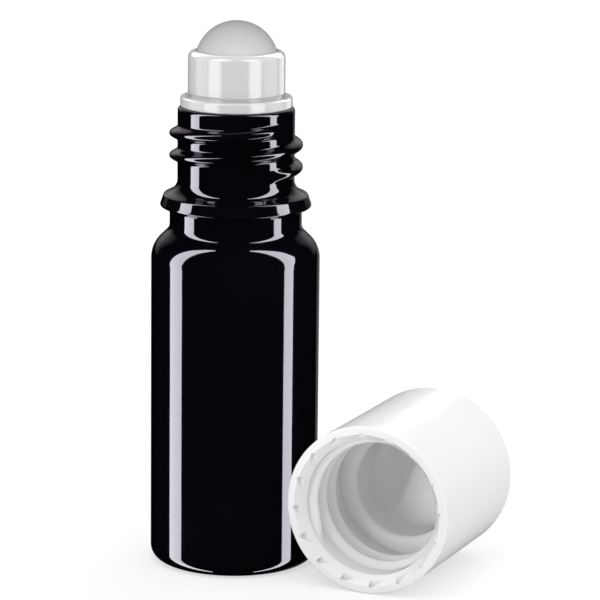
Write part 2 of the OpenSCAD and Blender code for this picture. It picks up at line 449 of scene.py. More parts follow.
class ShapeTree:
    """Geometry Nodes tree with named inputs, which ends in real geometry with a material."""

    def __init__(self, name: str) -> None:
        """Starts the tree.

        Args:
            name: Name of the tree.
        """
        self.group = bpy.data.node_groups.new(name, "GeometryNodeTree")
        self.group.is_modifier = True
        self.pad = Pad(self.group)
        self.values: dict[str, object] = {}
        self.group.interface.new_socket(name="Geometry", in_out="INPUT", socket_type="NodeSocketGeometry")
        self.group.interface.new_socket(name="Geometry", in_out="OUTPUT", socket_type="NodeSocketGeometry")
        self.entry = self.group.nodes.new("NodeGroupInput")
        self.leave = self.group.nodes.new("NodeGroupOutput")

    def value(self, name: str, value: float | int | bpy.types.Material) -> Term:
        """Adds a named input, and keeps the value that the modifier gives it.

        Args:
            name: Name of the input.
            value: A length or angle, a count, or a material.

        Returns:
            The input as a term.
        """
        kinds = {int: "NodeSocketInt", float: "NodeSocketFloat"}
        kind = kinds.get(type(value), "NodeSocketMaterial")
        self.group.interface.new_socket(name=name, in_out="INPUT", socket_type=kind)
        self.values[name] = value
        return Term(self.pad, self.entry.outputs[name])

    def hand_over(self, shape: bpy.types.NodeSocket, material: bpy.types.Material) -> None:
        """Ends the tree with real geometry and its material.

        Args:
            shape: The socket that gives the shape.
            material: The finish.
        """
        plain = self.pad.node("GeometryNodeRealizeInstances", {"Geometry": shape})
        finish = self.value("Finish", material)
        dressed = self.pad.node("GeometryNodeSetMaterial", {"Geometry": plain.outputs[0], "Material": finish})
        self.pad.feed(self.leave.inputs["Geometry"], dressed.outputs[0])


class SlotTree(ShapeTree):
    """Geometry Nodes tree that cuts slots which run out from the axis."""

    def cut(self, count: int, width: float, reach: float, low: float, high: float) -> bpy.types.NodeSocket:
        """Cuts the slots.

        Args:
            count: Number of slots.
            width: Width of a slot.
            reach: Distance of their far ends from the axis.
            low: Height of their floor.
            high: Height of their top.

        Returns:
            The socket that gives the shape.
        """
        pad = self.pad
        slots = self.value("Slots", count)
        wide = self.value("Slot width", width * MM)
        far = self.value("Slot reach", reach * MM)
        floor = self.value("Slot floor", low * MM)
        top = self.value("Slot top", high * MM)
        size = pad.node("ShaderNodeCombineXYZ", {"X": far, "Y": wide, "Z": top - floor})
        block = pad.node("GeometryNodeMeshCube", {"Size": size.outputs[0]})
        middle = pad.node("ShaderNodeCombineXYZ", {"X": far / 2.0, "Z": (floor + top) / 2.0})
        moved = pad.node(
            "GeometryNodeTransform", {"Geometry": block.outputs["Mesh"], "Translation": middle.outputs[0]}
        )
        marks = pad.node("GeometryNodeMeshLine", {"Count": slots})
        index = Term(pad, pad.node("GeometryNodeInputIndex").outputs["Index"])
        turn = pad.node("ShaderNodeCombineXYZ", {"Z": index / slots * math.tau})
        spread = pad.node(
            "GeometryNodeInstanceOnPoints",
            {"Points": marks.outputs["Mesh"], "Instance": moved.outputs[0], "Rotation": turn.outputs[0]},
        )
        marks.inputs["Offset"].default_value = (0.0, 0.0, 0.0)
        cutters = pad.node("GeometryNodeRealizeInstances", {"Geometry": spread.outputs[0]})
        carved = pad.node("GeometryNodeMeshBoolean", operation="DIFFERENCE", solver="EXACT")
        pad.feed(carved.inputs["Self Intersection"], True)
        pad.feed(carved.inputs["Mesh 1"], self.entry.outputs["Geometry"])
        pad.feed(carved.inputs["Mesh 2"], cutters.outputs[0])
        return carved.outputs["Mesh"]


class WallTree(ShapeTree):
    """Geometry Nodes tree that turns an outline about Z and works a thread and notches into the wall."""

    def __init__(self, name: str, columns: int) -> None:
        """Starts the tree.

        Args:
            name: Name of the tree.
            columns: Steps round the axis.
        """
        super().__init__(name)
        self.columns = self.value("Columns", columns)
        outline = self.entry.outputs["Geometry"]
        count = self.pad.node("GeometryNodeAttributeDomainSize", {"Geometry": outline}, component="MESH")
        rows = Term(self.pad, count.outputs["Point Count"])
        index = Term(self.pad, self.pad.node("GeometryNodeInputIndex").outputs["Index"])
        self.column = self.pad.math("FLOOR", (index + 0.5) / rows)
        row = index - self.column * rows
        point = self.pad.node(
            "GeometryNodeSampleIndex",
            {"Geometry": outline, "Value": self.pad.node("GeometryNodeInputPosition").outputs[0], "Index": row},
            data_type="FLOAT_VECTOR",
        )
        split = self.pad.node("ShaderNodeSeparateXYZ", {"Vector": point.outputs["Value"]})
        self.radius = Term(self.pad, split.outputs["X"])
        self.height = Term(self.pad, split.outputs["Z"])
        self.turn = self.column / self.columns
        grid = {"Vertices X": self.columns + 1.0, "Vertices Y": rows}
        self.grid = self.pad.node("GeometryNodeMeshGrid", grid)

    def crowd_notches(self, rule: NotchRule) -> None:
        """Bites the notches into the mouth, with the steps round the axis crowded at each steep side.

        Args:
            rule: The notches.
        """
        pad = self.pad
        count = self.value("Notches", rule.count)
        crowding = self.value("Crowding", rule.crowding)
        arc = self.value("Notch arc", rule.arc / 360)
        depth = self.value("Notch depth", rule.depth * MM)
        outer = self.value("Notch outer radius", rule.outer_radius * MM)
        inner = self.value("Notch inner radius", rule.inner_radius * MM)
        full_share = self.value("Notch full share", rule.full_share)
        cell = pad.math("FLOOR", self.turn * count + MERGE)
        part = self.turn * count - cell
        warp = part - pad.math("SINE", part * math.tau) * crowding / math.tau
        self.turn = (cell + warp) / count
        bite = pad.math("MINIMUM", ((warp - 1.0) / count + arc) / arc / full_share, 1.0)
        notch_radius = inner + (outer - inner) * bite
        at_mouth = pad.math("LESS_THAN", self.height, depth + MERGE * MM)
        inside = pad.math("LESS_THAN", self.radius, outer + MERGE * MM)
        deeper = pad.math("MAXIMUM", notch_radius - self.radius, 0.0)
        self.radius = self.radius + deeper * at_mouth * inside * pad.math("GREATER_THAN", part, MERGE)

    def wind_thread(self, rule: ThreadRule) -> None:
        """Raises the thread on the stretch of wall that has its root radius.

        Args:
            rule: The thread.
        """
        pad = self.pad
        root = self.value("Thread root radius", rule.root_radius * MM)
        height = self.value("Thread height", rule.height * MM)
        width = self.value("Thread width", rule.width * MM)
        pitch = self.value("Thread pitch", rule.pitch * MM)
        turns = self.value("Thread turns", rule.turns)
        start = self.value("Thread start turn", rule.start_angle / 360)
        start_height = self.value("Thread start height", rule.start_height * MM)
        fade = self.value("Thread fade", rule.fade / 360)
        part = pad.math("FRACT", self.turn - start)
        lap = pad.math("ROUND", (self.height - start_height) / pitch - part)
        along = part + lap
        away = (self.height - start_height - along * pitch) / width * 2.0
        crown = 1.0 - pad.math("ABSOLUTE", away) ** rule.squareness
        soft = pad.math("SQRT", crown * crown + rule.foot_softness**2)
        profile = ((soft + crown) * 0.5) ** rule.fullness
        near = pad.math("MINIMUM", along, turns - along) / fade
        share = pad.math("SINE", pad.math("MAXIMUM", pad.math("MINIMUM", near, 1.0), 0.0) * (math.pi / 2))
        on_wall = pad.math("COMPARE", self.radius, root, 5 * MERGE * MM)
        self.radius = self.radius + height * profile * share * on_wall

    def finish(self, material: bpy.types.Material) -> None:
        """Ends the tree: places the wall, closes its seam and poles, and gives it its material.

        Args:
            material: The finish.
        """
        pad = self.pad
        angle = self.turn * math.tau
        place = pad.node(
            "ShaderNodeCombineXYZ",
            {
                "X": self.radius * pad.math("COSINE", angle),
                "Y": self.radius * pad.math("SINE", angle),
                "Z": self.height,
            },
        )
        wall = pad.node("GeometryNodeSetPosition", {"Geometry": self.grid.outputs["Mesh"], "Position": place.outputs[0]})
        merged = pad.node("GeometryNodeMergeByDistance", {"Geometry": wall.outputs[0], "Distance": MERGE * MM})
        self.hand_over(merged.outputs[0], material)


def run_tree(source: bpy.types.Mesh, name: str, group: bpy.types.NodeTree, values: dict[str, object]) -> bpy.types.Mesh:
    """Runs a Geometry Nodes tree on a mesh, and keeps the result as a plain mesh.

    Args:
        source: The mesh that goes in.
        name: Name of the result.
        group: The tree.
        values: Values for its named inputs.

    Returns:
        The plain mesh.
    """
    carrier = bpy.data.objects.new(name + "_carrier", source)
    bpy.context.scene.collection.objects.link(carrier)
    modifier = carrier.modifiers.new("nodes", "NODES")
    modifier.node_group = group
    for item in group.interface.items_tree:
        if item.item_type == "SOCKET" and item.in_out == "INPUT" and item.name in values:
            modifier[item.identifier] = values[item.name]
    depsgraph = bpy.context.evaluated_depsgraph_get()
    made = bpy.data.meshes.new_from_object(carrier.evaluated_get(depsgraph))
    made.name = name
    carrier.modifiers.remove(modifier)
    bpy.data.objects.remove(carrier)
    return made


def add_piece(name: str, mesh: bpy.types.Mesh, node: str, body: str) -> bpy.types.Object:
    """Turns a mesh's faces outwards, marks its sharp edges, and puts it in the scene in place of a CAD node.

    Args:
        name: Name of the piece.
        mesh: Its mesh, in the row frame.
        node: The CAD node that it stands for.
        body: The CAD body that it moves with.

    Returns:
        The piece.
    """
    shell = bmesh.new()
    shell.from_mesh(mesh)
    bmesh.ops.dissolve_degenerate(shell, dist=MERGE * MM / 4, edges=shell.edges)
    bmesh.ops.recalc_face_normals(shell, faces=shell.faces)
    shell.to_mesh(mesh)
    shell.free()
    mesh.shade_smooth()
    mesh.set_sharp_from_angle(angle=SHARP_EDGE)
    piece = bpy.data.objects.new(name, mesh)
    bpy.context.scene.collection.objects.link(piece)
    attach(piece, body)
    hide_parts(node)
    LOG.info("%s: %d faces, on body %s", name, len(mesh.polygons), body)
    return piece


@dataclass
class GlassBottle:
    """The dark glass bottle, with its shoulder, bead and screw neck."""

    node: str = "glass_bottle"
    body: str = "bottle"
    wall: float = 1.9
    floor: float = 2.8
    heel: float = 1.9
    foot_width: float = 0.8
    punt_rise: float = 1.0
    inner_corner: float = 3.0
    shoulder: float = 4.0
    tilt: float = 46.0
    collar_blend: float = 1.35
    lower_neck_out: float = 1.03
    lower_neck_length: float = 1.9
    bead_out: float = 2.3
    bead_drop: float = 13.5
    bead_height: float = 1.7
    bead_taper: float = 0.38
    bead_edge: float = 0.3
    bead_under_tilt: float = 65.0
    bead_top_tilt: float = 64.0
    bead_blend: float = 1.8
    neck_radius: float = 7.85
    neck_wall: float = 1.65
    rim: float = 0.55
    thread_height: float = 1.07
    thread_width: float = 2.0
    thread_pitch: float = 3.0
    thread_turns: float = 2.04
    thread_drop: float = 2.43
    thread_end: float = -15.0
    thread_fade: float = 24.0
    columns: int = 224
    row_step: float = 0.09

    def outline(self, body_radius: float, height: float) -> Outline:
        """The half section of the glass, from the punt round the outside and the bore to the inner floor.

        Args:
            body_radius: Radius of the body.
            height: Height of the glass.

        Returns:
            The outline.
        """
        punt_radius = body_radius - self.heel - self.foot_width
        punt_ball = (punt_radius**2 + self.punt_rise**2) / (2 * self.punt_rise)
        punt_half = math.degrees(math.asin(punt_radius / punt_ball))
        lower_neck = self.neck_radius + self.lower_neck_out
        bead_radius = self.neck_radius + self.bead_out
        bead_top = bead_radius - self.bead_taper
        bead_low = height - self.bead_drop
        bead_high = bead_low + self.bead_height
        wall_tilt = math.degrees(math.atan2(self.bead_taper, self.bead_height))
        low_middle = Vector((bead_radius - self.bead_edge, bead_low + self.bead_edge))
        high_middle = Vector((bead_top - self.bead_edge, bead_high - self.bead_edge))
        foot = low_middle + tilted(self.bead_edge, -self.bead_under_tilt)
        bead_under = foot.y - (foot.x - lower_neck) / math.tan(math.radians(self.bead_under_tilt))
        neck_start = bead_under - self.lower_neck_length
        bend = self.shoulder + self.collar_blend
        tilt_share = 1 - math.cos(math.radians(self.tilt))
        cone = (body_radius - lower_neck - bend * tilt_share) / math.tan(math.radians(self.tilt))
        shoulder_height = neck_start - bend * math.sin(math.radians(self.tilt)) - cone
        corner = high_middle + tilted(self.bead_edge, self.bead_top_tilt)
        blend_out, blend_rise = tilted(self.bead_blend, self.bead_top_tilt)
        slope_width = corner.x - (self.neck_radius + self.bead_blend - blend_out)
        blend_top = corner.y + slope_width / math.tan(math.radians(self.bead_top_tilt)) + blend_rise
        bore = self.neck_radius - self.neck_wall
        inner = body_radius - self.wall
        inner_bend = self.shoulder - self.wall
        mouth_bend = self.wall
        inner_cone = (inner - bore - (inner_bend + mouth_bend) * tilt_share) / math.tan(math.radians(self.tilt))
        inner_neck = shoulder_height + (inner_bend + mouth_bend) * math.sin(math.radians(self.tilt)) + inner_cone

        made = Outline(0, self.punt_rise)
        made.arc((0, self.punt_rise - punt_ball), punt_ball, 90, 90 - punt_half, 16)
        made.arc((body_radius - self.heel, self.heel), self.heel, -90, 0, 18)
        made.arc((body_radius - self.shoulder, shoulder_height), self.shoulder, 0, self.tilt, 16)
        made.arc((lower_neck + self.collar_blend, neck_start), self.collar_blend, 180 + self.tilt, 180, 12)
        made.line(lower_neck, bead_under)
        made.arc(low_middle, self.bead_edge, -self.bead_under_tilt, wall_tilt, 8)
        made.arc(high_middle, self.bead_edge, wall_tilt, self.bead_top_tilt, 6)
        made.arc((self.neck_radius + self.bead_blend, blend_top), self.bead_blend, 180 + self.bead_top_tilt, 180, 14)
        made.line(self.neck_radius, height - self.rim, step=self.row_step)
        made.arc((self.neck_radius - self.rim, height - self.rim), self.rim, 0, 90, 8)
        made.arc((bore + self.rim / 2, height - self.rim / 2), self.rim / 2, 90, 180, 6)
        made.arc((bore + mouth_bend, inner_neck), mouth_bend, 180, 180 + self.tilt, 8)
        made.arc((inner - inner_bend, shoulder_height), inner_bend, self.tilt, 0, 8)
        made.arc((inner - self.inner_corner, self.floor + self.inner_corner), self.inner_corner, 0, -90, 10)
        made.line(0, self.floor)
        return made

    def thread(self, height: float) -> ThreadRule:
        """The screw thread, wound down from its upper end below the rim.

        Args:
            height: Height of the glass.

        Returns:
            The thread's rule.
        """
        return ThreadRule(
            root_radius=self.neck_radius,
            height=self.thread_height,
            width=self.thread_width,
            pitch=self.thread_pitch,
            turns=self.thread_turns,
            start_angle=self.thread_end - 360 * self.thread_turns,
            start_height=height - self.thread_drop - self.thread_pitch * self.thread_turns,
            fade=self.thread_fade,
        )

    def build(self, finish: Surface) -> bpy.types.Object:
        """Makes the bottle.

        Args:
            finish: The glass.

        Returns:
            The piece.
        """
        low, high = node_box(self.node)
        tree = WallTree("bottle_wall", self.columns)
        tree.wind_thread(self.thread(high.z))
        tree.finish(finish.material())
        outline = self.outline(high.x, high.z)
        mesh = run_tree(outline.mesh("bottle_outline"), "bottle_glass", tree.group, tree.values)
        return add_piece("bottle_glass", mesh, self.node, self.body)


@dataclass
class RollerHousing:
    """The white fitment: plug in the bore, flange on the rim, and the cup that holds the ball."""

    node: str = "ball_housing"
    body: str = "bottle"
    flange_radius: float = 7.5
    flange: float = 1.4
    flange_edge: float = 0.25
    cup_radius: float = 6.5
    cup_edge: float = 0.9
    foot_groove: float = 0.35
    groove_height: float = 0.6
    ball_lift: float = 0.3
    ball_air: float = 0.08
    feed_room: float = 0.6
    feed_ledge: float = 0.45
    seat_angle: float = 50.0
    web_share: float = 0.85
    plug_length: float = 7.0
    plug_wall: float = 1.0
    plug_radius: float = 6.1
    ribs: int = 3
    rib_out: float = 0.15
    slots: int = 4
    slot_width: float = 0.9
    columns: int = 160

    def outline(self, rim: float, ball: float, top: float) -> Outline:
        """The half section of the housing.

        Args:
            rim: Height of the glass rim that the flange sits on.
            ball: Radius of the ball.
            top: Height of the cup's rim.

        Returns:
            The outline.
        """
        socket = ball + self.ball_air
        middle = rim + self.ball_lift + ball
        lip_angle = math.degrees(math.asin((top - middle) / socket))
        seat = tilted(socket, -self.seat_angle)
        well = rim + self.ball_lift - self.feed_room
        under = well - self.flange * self.web_share
        feed = seat.x - self.feed_ledge
        foot = rim - self.plug_length
        tip = self.plug_wall / 2
        rib_half = self.plug_wall / 3
        rib_step = (self.plug_length - self.plug_wall) / (self.ribs + 1)
        groove = self.groove_height / 2
        edge = self.flange_edge
        cup_foot = rim + self.flange
        made = Outline(feed, under)
        made.line(self.plug_radius - self.plug_wall, under)
        made.line(self.plug_radius - self.plug_wall, foot)
        made.line(self.plug_radius - tip, foot)
        made.line(self.plug_radius, foot + tip)
        for i in range(1, self.ribs + 1):
            level = foot + rib_step * i
            made.line(self.plug_radius, level - rib_half)
            made.line(self.plug_radius + self.rib_out, level)
            made.line(self.plug_radius, level + rib_half)
        made.line(self.plug_radius, rim)
        made.arc((self.flange_radius - edge, rim + edge), edge, -90, 0, 6)
        made.arc((self.flange_radius - edge, cup_foot - edge), edge, 0, 90, 6)
        made.line(self.cup_radius - self.foot_groove, cup_foot)
        made.line(self.cup_radius - self.foot_groove, cup_foot + groove, guard=0.05)
        made.line(self.cup_radius, cup_foot + 2 * groove, guard=0.05)
        made.arc((self.cup_radius - self.cup_edge, top - self.cup_edge), self.cup_edge, 0, 90, 12)
        made.arc((0, middle), socket, lip_angle, -self.seat_angle, 28)
        made.line(seat.x, well)
        made.line(feed, well)
        made.close()
        return made

    def build(self, finish: Surface) -> bpy.types.Object:
        """Makes the housing.

        Args:
            finish: The plastic.

        Returns:
            The piece.
        """
        rim = node_box("glass_bottle")[1].z
        ball_low, ball_high = node_box("roller_ball")
        ball = (ball_high.z - ball_low.z) / 2
        top = node_box(self.node)[1].z
        material = finish.material()
        tree = WallTree("housing_wall", self.columns)
        tree.finish(material)
        outline = self.outline(rim, ball, top)
        turned = run_tree(outline.mesh("housing_outline"), "housing_turned", tree.group, tree.values)
        seat = tilted(ball + self.ball_air, -self.seat_angle)
        well = rim + self.ball_lift - self.feed_room
        slot_top = rim + self.ball_lift + ball + seat.y + self.flange
        slots = SlotTree("feed_slots")
        cut = slots.cut(self.slots, self.slot_width, seat.x + self.plug_wall, well, slot_top)
        slots.hand_over(cut, material)
        mesh = run_tree(turned, "roller_housing", slots.group, slots.values)
        return add_piece("roller_housing", mesh, self.node, self.body)


@dataclass
class RollerBall:
    """The frosted ball, free in the housing."""

    node: str = "roller_ball"
    body: str = "ball"
    cuts: int = 48

    def build(self, finish: Surface) -> bpy.types.Object:
        """Makes the ball from a cube whose grid is pushed out to the ball's radius.

        Args:
            finish: The plastic.

        Returns:
            The piece.
        """
        low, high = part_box(self.node)
        centre, radius = (low + high) / 2, (high.z - low.z) / 2
        shell = bmesh.new()
        bmesh.ops.create_cube(shell, size=2.0)
        bmesh.ops.subdivide_edges(shell, edges=shell.edges, cuts=self.cuts - 1, use_grid_fill=True)
        for vertex in shell.verts:
            even = Vector([math.tan(x * math.pi / 4) for x in vertex.co])
            vertex.co = centre + even.normalized() * radius
        mesh = bpy.data.meshes.new("frosted_ball")
        shell.to_mesh(mesh)
        shell.free()
        mesh.materials.append(finish.material())
        return add_piece("frosted_ball", mesh, self.node, self.body)


@dataclass
class ScrewCap:
    """The white cap, which lies beside the bottle with its mouth to the front."""

    node: str = "screw_cap"
    body: str = "cap"
    roll: float = -2.5
    rim_width: float = 1.08
    end_edge: float = 0.9
    mouth_edge: float = 0.35
    end_wall: float = 1.4
    chamber_corner: float = 4.0
    chamber_edge: float = 0.9
    chamber: float = 7.0
    skirt: float = 9.2
    skirt_length: float = 13.35
    lead_in: float = 1.8
    ridge_tip: float = 8.31
    ridge_width: float = 2.4
    ridge_start: float = 3.3
    ridge_pitch: float = 3.0
    seat_height: float = 50.4
    notches: int = 16
    notch_arc: float = 9.0
    notch_depth: float = 0.9
    notch_bite: float = 0.2
    steps_per_notch: int = 24
    row_step: float = 0.14

    def outline(self, radius: float, length: float) -> Outline:
        """The half section of the cap, mouth at height 0, from the closed end round the mouth to the chamber.

        Args:
            radius: Outer radius.
            length: Length of the cap.

        Returns:
            The outline.
        """
        mouth = radius - self.rim_width
        chamber_end = length - self.end_wall
        slope = (mouth - self.skirt) / self.lead_in
        shelf = self.notch_depth
        made = Outline(0, length)
        made.arc((radius - self.end_edge, length - self.end_edge), self.end_edge, 90, 0, 12)
        made.arc((radius - self.mouth_edge, self.mouth_edge), self.mouth_edge, 0, -90, 8)
        made.line(mouth, 0, guard=0.3)
        made.line(mouth - slope * shelf, shelf, step=0.2, guard=0.05)
        made.line(self.skirt, self.lead_in, guard=0.02)
        made.line(self.skirt, self.skirt_length, step=self.row_step)
        edge = self.chamber_edge
        made.arc((self.chamber + edge, self.skirt_length + edge), edge, -90, -180, 8)
        made.arc((self.chamber - self.chamber_corner, chamber_end - self.chamber_corner), self.chamber_corner, 0, 90, 10)
        made.line(0, chamber_end)
        return made

    def ridge(self, glass: GlassBottle, glass_height: float) -> ThreadRule:
        """The thread ridge inside, which runs midway between the turns of the glass thread on the seated cap.

        Args:
            glass: The bottle.
            glass_height: Height of the glass.

        Returns:
            The ridge's rule.
        """
        thread_top = glass_height - glass.thread_drop
        rise = self.ridge_start + self.seat_height - self.ridge_pitch / 2 - thread_top
        return ThreadRule(
            root_radius=self.skirt,
            height=self.ridge_tip - self.skirt,
            width=self.ridge_width,
            pitch=self.ridge_pitch,
            turns=(self.skirt_length - self.ridge_start - self.ridge_width) / self.ridge_pitch,
            start_angle=glass.thread_end + 360 * rise / self.ridge_pitch,
            start_height=self.ridge_start,
            fade=glass.thread_fade,
        )

    def build(self, finish: Surface, glass: GlassBottle) -> bpy.types.Object:
        """Makes the cap, and lays it where the CAD cap lies.

        Args:
            finish: The plastic.
            glass: The bottle that the cap fits.

        Returns:
            The piece.
        """
        low, high = node_box(self.node)
        radius, length = (high.z - low.z) / 2, high.y - low.y
        mouth = radius - self.rim_width
        slope = (mouth - self.skirt) / self.lead_in
        notches = NotchRule(
            count=self.notches,
            arc=self.notch_arc,
            depth=self.notch_depth,
            outer_radius=mouth + self.notch_bite,
            inner_radius=mouth - slope * self.notch_depth,
        )
        tree = WallTree("cap_wall", self.notches * self.steps_per_notch)
        tree.crowd_notches(notches)
        tree.wind_thread(self.ridge(glass, node_box(glass.node)[1].z))
        tree.finish(finish.material())
        outline = self.outline(radius, length)
        mesh = run_tree(outline.mesh("cap_outline"), "white_cap", tree.group, tree.values)
        centre = Vector(((low.x + high.x) / 2, low.y, (low.z + high.z) / 2)) * MM
        lie = Matrix.Rotation(math.radians(-90), 4, "X") @ Matrix.Rotation(math.radians(self.roll), 4, "Z")
        mesh.transform(Matrix.Translation(centre) @ lie)
        return add_piece("white_cap", mesh, self.node, self.body)


class Rays(Enum):
    """Kinds of rays that a thing of the studio can be hidden from."""

    CAMERA = "visible_camera"
    DIFFUSE = "visible_diffuse"
    GLOSSY = "visible_glossy"
    TRANSMISSION = "visible_transmission"
    SHADOW = "visible_shadow"


def hide_from(thing: bpy.types.Object, *rays: Rays) -> None:
    """Hides a thing of the studio from some kinds of rays.

    Args:
        thing: The light, floor or panel.
        rays: The kinds of rays.
    """
    for ray in rays:
        setattr(thing, ray.value, False)


Direction = tuple[float, float]


@dataclass(frozen=True)
class Panel:
    """A soft box on a wide sphere round the object, which only the reflections on some pieces see.

    It spans two edges of as many points each, and a point is a direction to the right of the camera's and an
    elevation, in degrees.
    """

    name: str
    first_edge: tuple[Direction, ...]
    last_edge: tuple[Direction, ...]
    strength: float
    pieces: tuple[str, ...]
    tint: Colour = (1.0, 1.0, 1.0)
    feather: float = 0.0


def box_edges(first: float, last: float, low: float, high: float) -> tuple[tuple[Direction, ...], ...]:
    """The edges of an upright soft box.

    Args:
        first: Its first direction in degrees.
        last: Its last direction.
        low: Its lowest elevation.
        high: Its highest elevation.

    Returns:
        The two upright edges.
    """
    levels = [low + (high - low) * i / 4 for i in range(5)]
    return tuple(tuple((turn, level) for level in levels) for turn in (first, last))


GLASS_PIECES = ("bottle_glass",)
WHITE_PIECES = ("roller_housing",)
CAP_PIECES = ("white_cap",)
BALL_PIECES = ("frosted_ball",)
STRIP_TINT = (0.975, 0.94, 1.04)
GLOW_TINT = (1.0, 0.92, 0.98)
PANELS = (
    Panel(
        "left_strip",
        ((-99.5, -75.0), (-99.5, -1.0), (-97.5, 13.0), (-95.5, 25.0), (-91.0, 52.0), (-82.0, 64.0), (-65.0, 70.5)),
        ((-77.5, -75.0), (-77.5, -1.0), (-75.5, 12.0), (-74.0, 25.0), (-69.5, 51.0), (-66.0, 62.0), (-60.0, 69.0)),
        12.0,
        GLASS_PIECES,
        STRIP_TINT,
    ),
    Panel(
        "right_strip",
        ((70.0, -75.0), (70.0, 0.0), (70.0, 15.0), (68.0, 29.0), (64.0, 45.0), (60.0, 61.0), (48.0, 72.5)),
        ((85.5, -75.0), (85.5, 0.0), (94.0, 22.0), (91.0, 32.5), (88.0, 50.0), (75.0, 67.0), (52.0, 74.0)),
        12.0,
        GLASS_PIECES,
        STRIP_TINT,
    ),
    Panel("back_glow", *box_edges(132.0, 228.0, 0.0, 36.0), 0.7, GLASS_PIECES, GLOW_TINT, 0.7),
    Panel("right_edge_glow", *box_edges(148.0, 176.0, -50.0, 6.0), 0.2, GLASS_PIECES, GLOW_TINT, 0.3),
    Panel("front_left_box", *box_edges(-69.0, -38.0, -50.0, 28.0), 6.0, WHITE_PIECES),
    Panel("front_left_top", ((-72.0, 28.0), (-72.0, 60.0)), ((-30.0, 28.0), (-6.0, 60.0)), 8.0, WHITE_PIECES),
    Panel("front_right_box", *box_edges(30.0, 60.0, -50.0, 28.0), 6.5, WHITE_PIECES),
    Panel("front_right_top", ((24.0, 28.0), (6.0, 60.0)), ((66.0, 28.0), (66.0, 60.0)), 8.0, WHITE_PIECES),
    Panel("left_box", *box_edges(-111.0, -75.0, -50.0, 50.0), 2.0, WHITE_PIECES),
    Panel("right_box", *box_edges(69.0, 111.0, -50.0, 50.0), 2.0, WHITE_PIECES),
    Panel("back_right_box", *box_edges(120.0, 150.0, -50.0, 50.0), 2.0, WHITE_PIECES),
    Panel("back_top", *box_edges(120.0, 240.0, 12.0, 40.0), 5.0, WHITE_PIECES),
    Panel("ball_box", *box_edges(-14.0, 14.0, 8.0, 30.0), 4.0, BALL_PIECES),
    *(
        Panel(f"cap_room_{turn}", *box_edges(turn, turn + 90.0, -89.0, 89.0), 0.25, CAP_PIECES)
        for turn in (0, 90, 180, 270)
    ),
)


